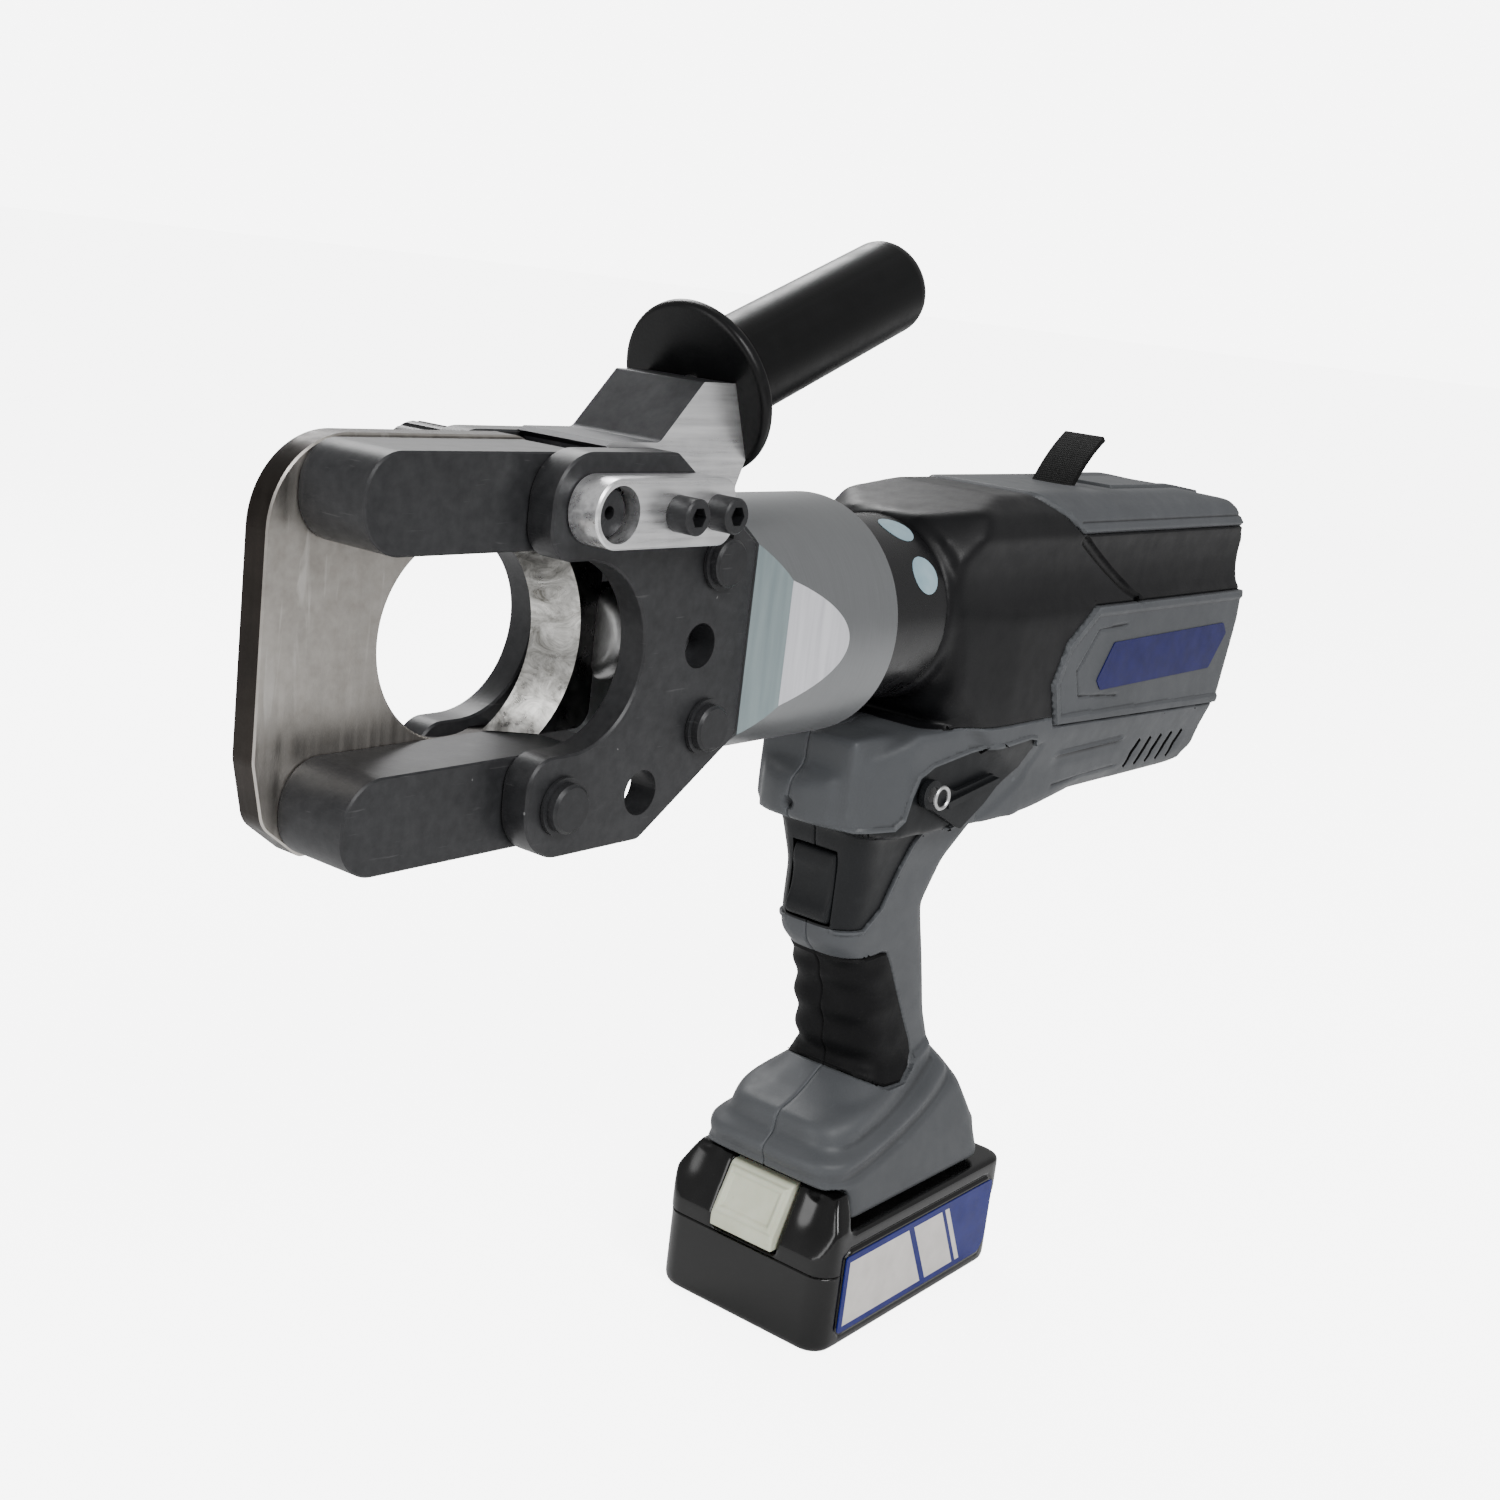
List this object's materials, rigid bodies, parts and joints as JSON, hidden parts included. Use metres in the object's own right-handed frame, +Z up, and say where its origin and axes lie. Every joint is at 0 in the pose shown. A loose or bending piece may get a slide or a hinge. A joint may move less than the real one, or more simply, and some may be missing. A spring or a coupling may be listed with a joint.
{
  "type": "cable cutter",
  "caption": "Cordless hydraulic cable cutter: latched jaw head with curved fixed and sliding blades, side handle, pistol-grip motor unit and slide-on battery.",
  "frame": {"origin": "middle of the battery's flat underside", "axes": "+Z up, the cutting head points to -X, the tool's left side faces -Y"},
  "size_m": [0.4784, 0.0873, 0.3816],
  "materials": {
    "blackened_steel": "blackened, satin",
    "blade_steel": "ground, satin, light heat tint",
    "hard_steel": "ground",
    "cylinder_steel": "turned, satin",
    "bright_aluminium": "milled",
    "zinc_steel": "turned",
    "black_screw": "black oxide",
    "handle_black": "satin moulded",
    "collar_black": "black anodised, semi gloss",
    "shell_grey": "fine grain",
    "cowl_black": "fine grain",
    "inlay_black": "smooth",
    "grip_rubber": "matt",
    "battery_black": "gloss",
    "button_cream": "semi gloss",
    "webbing": "woven",
    "seal_rubber": "matt",
    "cell_wrap": "shrink wrap",
    "circuit": "solder mask",
    "brass": "turned",
    "magnet": "sintered",
    "fan_plastic": "moulded"
  },
  "bodies": {
    "motor_unit": {"collar": "collar_black", "swivel_ring": "hard_steel", "pump_block": "bright_aluminium", "pump_seal": "seal_rubber", "pump_plunger": "hard_steel", "relief_valve": "brass", "oil_bladder": "seal_rubber", "gear_case": "bright_aluminium", "motor_can": "zinc_steel", "motor_magnets": "magnet", "bearings": "hard_steel", "left_shell": "shell_grey", "right_shell": "shell_grey", "motor_cowl": "cowl_black", "top_cover": "shell_grey", "left_side_panel": "shell_grey", "right_side_panel": "shell_grey", "left_inlay": "inlay_black", "right_inlay": "inlay_black", "grip_pad": "grip_rubber", "housing_screws": "black_screw", "strap": "webbing", "switch_body": "fan_plastic", "control_board": "circuit", "terminal_block": "fan_plastic"},
    "head": {"cylinder": "cylinder_steel", "left_side_plate": "blackened_steel", "right_side_plate": "blackened_steel", "fixed_blade": "blade_steel", "upper_guide_arm": "blackened_steel", "lower_guide_arm": "blackened_steel", "jaw_bolts": "black_screw", "hinge_pin": "blackened_steel", "frame_pins": "blackened_steel", "circlips": "black_screw", "latch_block": "bright_aluminium", "latch_screws": "black_screw", "handle_bracket": "bright_aluminium", "handle_grip": "handle_black", "handle_stud": "zinc_steel", "rod_seal": "seal_rubber"},
    "blade_ram": {"ram": "hard_steel", "moving_blade": "blade_steel", "blade_pin": "hard_steel", "piston_seal": "seal_rubber"},
    "lock": {"lock_pin": "blackened_steel", "lock_knob": "collar_black"},
    "trigger_paddle": {"trigger": "inlay_black"},
    "release": {"release_lever": "inlay_black", "release_shaft": "hard_steel"},
    "battery": {"battery_lower_case": "battery_black", "battery_upper_case": "battery_black", "battery_cells": "cell_wrap", "battery_board": "circuit"},
    "battery_latch": {"battery_button": "button_cream"},
    "rotor": {"motor_rotor": "zinc_steel", "cooling_fan": "fan_plastic"},
    "reducer": {"planet_carrier": "hard_steel", "planet_gears": "hard_steel", "eccentric_shaft": "hard_steel"}
  },
  "joints": [
    {"name": "head_swivel", "type": "hinge", "parent": "motor_unit", "child": "head", "pos_m": [-0.05, 0, 0.262], "axis": [-1, 0, 0], "range_deg": [-150, 150]},
    {"name": "ram_stroke", "type": "slide", "parent": "head", "child": "blade_ram", "axis": [-1, 0, 0], "range_m": [0, 0.058]},
    {"name": "lock_pin_pull", "type": "slide", "parent": "head", "child": "lock", "axis": [0, 1, 0], "range_m": [0, 0.0505]},
    {"name": "trigger_press", "type": "slide", "parent": "motor_unit", "child": "trigger_paddle", "axis": [1, 0, 0], "range_m": [0, 0.006], "stiffness_N_per_m": 900, "springref_m": -0.004},
    {"name": "release_turn", "type": "hinge", "parent": "motor_unit", "child": "release", "pos_m": [-0.024, -0.02866, 0.201], "axis": [0.066, 0.9978, 0], "range_deg": [0, 12], "stiffness_Nm_per_rad": 0.5, "springref_deg": -8.59},
    {"name": "battery_slide", "type": "slide", "parent": "motor_unit", "child": "battery", "axis": [-1, 0, 0], "range_m": [0, 0.1]},
    {"name": "battery_button_press", "type": "slide", "parent": "battery", "child": "battery_latch", "axis": [1, 0, 0], "range_m": [0, 0.0025], "stiffness_N_per_m": 2000, "springref_m": -0.001},
    {"name": "rotor_spin", "type": "hinge", "parent": "motor_unit", "child": "rotor", "pos_m": [0.076, 0, 0.262], "axis": [1, 0, 0], "continuous": true},
    {"name": "reducer_spin", "type": "hinge", "parent": "motor_unit", "child": "reducer", "pos_m": [0.02, 0, 0.262], "axis": [1, 0, 0], "continuous": true}
  ],
  "couplings": [
    {"joint": "reducer_spin", "follows": "rotor_spin", "ratio": 0.2218}
  ]
}
